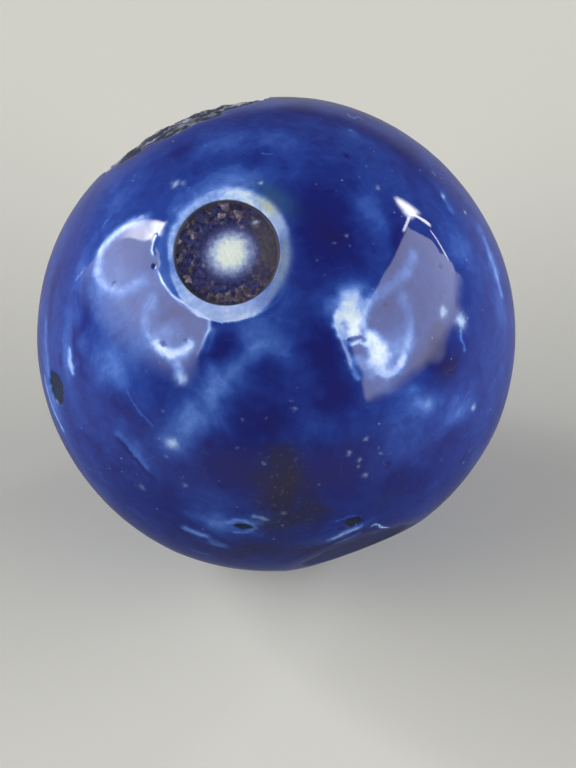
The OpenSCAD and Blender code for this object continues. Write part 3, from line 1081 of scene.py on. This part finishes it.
def glazeMaterial():
    cobalt = bpy.data.materials.new("cobaltGlaze")
    board = Board(cobalt)

    def skinMark(name):
        return board.add("Attribute", {"attribute_name": name}, {}, "Fac")

    def stained(colour, share, name):
        return board.mix(share, colour, paint(*glazeColours[name]))

    def between(share, name):
        dark, light = glazeColours[name]
        return board.mix(share, paint(*dark), paint(*light))

    place = board.add("TexCoord", output="Object")
    names = ("crust", "smallScar", "crumbTint", "eyeAway", "coreAway", "footAway")
    crust, smallScar, crumbTint, eyeAway, coreAway, footAway = [skinMark(name) for name in names]
    wideScale, wideShare = glazeGrain["wide"]
    wispScale, wispShare = glazeGrain["wisps"]
    fineScale, fineShare = glazeGrain["fine"]
    grit = board.cloud(place, glazeGrain["grit"], 5, 0.65)
    fine = board.cloud(place, fineScale, 4, 0.6, 0.3)

    # tone with its fine grain, through the ramp
    wide = board.cloud(place, wideScale, 6, 0.6, 0.7)
    wisps = board.cloud(place, wispScale, 5, 0.62, 1.6)
    tone = skinMark("tone") + (wide - 0.5) * wideShare + (wisps - 0.5) * wispShare + (fine - 0.5) * fineShare
    glaze = board.ramp(tone, glazeColours["tones"])
    umber = board.ease(skinMark("umber") + (wide - 0.5) * 0.6, 0.15, 0.95)
    glaze = stained(glaze, umber * 0.8, "umber")
    glaze = stained(glaze, board.ease(grit, 0.56, 0.7) * umber * 0.45, "speck")
    for stain, share in glazeFinish["stain"].items():
        glaze = stained(glaze, skinMark(stain) * share, stain)

    # flecks, the painted glint in the eye, pinholes and fine hair scratches
    fleck = skinMark("fleck")
    flecksAndGlint = board.ease(fleck + (fleck * (grit - 0.5)) * 0.9 + (fine - 0.5) * 0.12, 0.03, 1.05)
    pins = board.add("TexVoronoi", {}, {"Vector": place, "Scale": glazeGrain["pins"]}, "Distance")
    pinPick = board.cloud(place, glazeGrain["pinPatches"], 2)
    pinhole = board.ease(pins + (grit - 0.5) * 0.12, 0.1, 0.03) * board.ease(pinPick, 0.5, 0.66)
    glaze = stained(glaze, pinhole * 0.4, "pinhole")
    bend = board.cloud(place, glazeGrain["hairs"], 1, 0.4, 0.4)
    off = board.add("Math", {"operation": "ABSOLUTE"}, {0: bend - 0.5})
    hairPick = board.cloud(place, glazeGrain["hairPatches"], 1)
    hair = board.ease(off, 0.0035, 0.001) * board.ease(hairPick, 0.56, 0.64)
    glaze = stained(glaze, hair * 0.09, "hair")

    # the floor of the eye
    inside = board.ease(eyeAway, kilnEye["scar"], kilnEye["scar"] - 0.07)
    navy = between(board.ease(grit, 0.38, 0.62), "eyeFloor")
    crumbs = board.ramp(crumbTint * 0.55 + grit * 1.2 - 0.42, glazeColours["crumbs"])
    crumbZone = board.ease(eyeAway + (grit - 0.5) * 1.3 + (crumbTint - 0.5) * 1.0, 1.55, 2.2)
    floor = board.mix(crumbZone, navy, crumbs)
    floor = board.mix(skinMark("eyeBrown"), floor, between(grit, "eyeBrown"))
    # painted shade of the scar's wall just inside the rim
    floor = stained(floor, board.ease(eyeAway + (grit - 0.5) * 0.3, 2.8, 3.0), "eyeWallShade")
    closeness = 1 - (coreAway + (grit - 0.5) * 0.75 + (wisps - 0.5) * 0.5) * 0.5
    core = board.ramp(closeness, glazeColours["core"])
    floor = board.mix(board.ease(coreAway + (grit - 0.5) * 1.1, 2.0, 1.2), floor, core)
    skinColour = stained(board.mix(inside, glaze, floor), flecksAndGlint, "fleck")

    # the crust, the foot and the small scars
    crustColour = board.ramp(crumbTint * 0.8 + grit * 0.9 - 0.32, glazeColours["crust"])
    skinColour = board.mix(crust * 0.95, skinColour, crustColour)
    foot = board.ease(footAway + (wisps - 0.5) * 2.4, footScar["flat"] + 0.25, footScar["flat"] - 0.35)
    # the foot's near black is partly its own colour and partly painted shade
    footColourAndShade = board.ramp(grit * 0.8 + wisps * 0.6 - 0.2, glazeColours["foot"])
    skinColour = board.mix(foot * 0.6, skinColour, footColourAndShade)
    scarred = board.ease(smallScar + (grit - 0.5) * 0.8, 0.1, 0.9)
    skinColour = board.mix(scarred * 0.95, skinColour, between(grit, "smallScar"))

    broken = board.larger(board.larger(inside, crust), board.larger(smallScar * 0.6, foot * 0.75))
    roughness = glazeFinish["roughness"] + broken * glazeFinish["brokenRoughness"] + (fine - 0.5) * 0.08
    slant = board.add("LayerWeight", {}, {"Blend": 0.5}, "Facing")
    coat = 1 - broken * glazeFinish["brokenCoat"]
    coat = coat * (1 - board.ease(slant, 0.35, 0.9) * glazeFinish["edgeCoat"])
    peel = board.cloud(place, glazeGrain["peel"], 3, 0.5)
    tooth = board.cloud(place, glazeGrain["tooth"], 3, 0.6)
    # heights in mm
    height = peel * 0.004 + pinhole * -0.012 + broken * grit * 0.06 + broken * tooth * 0.02 + fleck * -0.006
    bump = board.add("Bump", {}, {"Strength": 1.0, "Distance": mm, "Height": height})
    surface = board.add(
        "BsdfPrincipled",
        {},
        {
            "Base Color": skinColour,
            "Roughness": roughness,
            "Coat Weight": coat,
            "Normal": bump,
            "IOR": 1.5,
            "Specular IOR Level": 0.0,
            "Coat IOR": glazeFinish["coatIor"],
            "Coat Roughness": glazeFinish["coatRoughness"],
        },
    )
    board.add("OutputMaterial", {}, {"Surface": surface})
    return cobalt


def buildMarble():
    ball = rollBall()
    mesh = bpy.data.meshes.new("glazedMarble")
    ball.to_mesh(mesh)
    ball.free()
    corners = np.empty(len(mesh.vertices) * 3)
    mesh.vertices.foreach_get("co", corners)
    skin = onBall(corners.reshape(-1, 3))
    radius, marks = shapeSkin(skin)
    print("ball shaped")
    eyeAway = marks["eyeAway"]
    tone, umber, fleck = toneSkin(skin)
    tone, moss, teal, pearl = eyeMarks(skin, eyeAway, tone)
    brown = nearTurn(eyeTurn(skin), 5, 72) * rampUp(1.5, 2.1, eyeAway)
    marks.update(
        coreAway=np.clip(across(skin, seenAt(*kilnEye["corePixel"])), 0, 6),
        eyeBrown=brown * (eyeAway < kilnEye["scar"] + 0.2),
        tone=np.clip(tone, 0, 1.15),
        umber=umber,
        moss=moss,
        teal=teal,
        pearl=pearl,
        fleck=fleck,
        eyeAway=np.clip(eyeAway, 0, 9),
        footAway=np.clip(marks["footAway"], 0, 9),
    )
    mesh.vertices.foreach_set("co", (skin * radius[:, None] * mm).ravel())
    for name, values in marks.items():
        layer = mesh.attributes.new(name, "FLOAT", "POINT")
        layer.data.foreach_set("value", values.astype(np.float32))
    mesh.polygons.foreach_set("use_smooth", [True] * len(mesh.polygons))
    mesh.update()
    marble = addToScene("glazedMarble", mesh)
    mesh.materials.append(glazeMaterial())
    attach(marble, "root")
    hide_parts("marble")
    print("marble glazed,", len(mesh.polygons), "faces")


buildMarble()
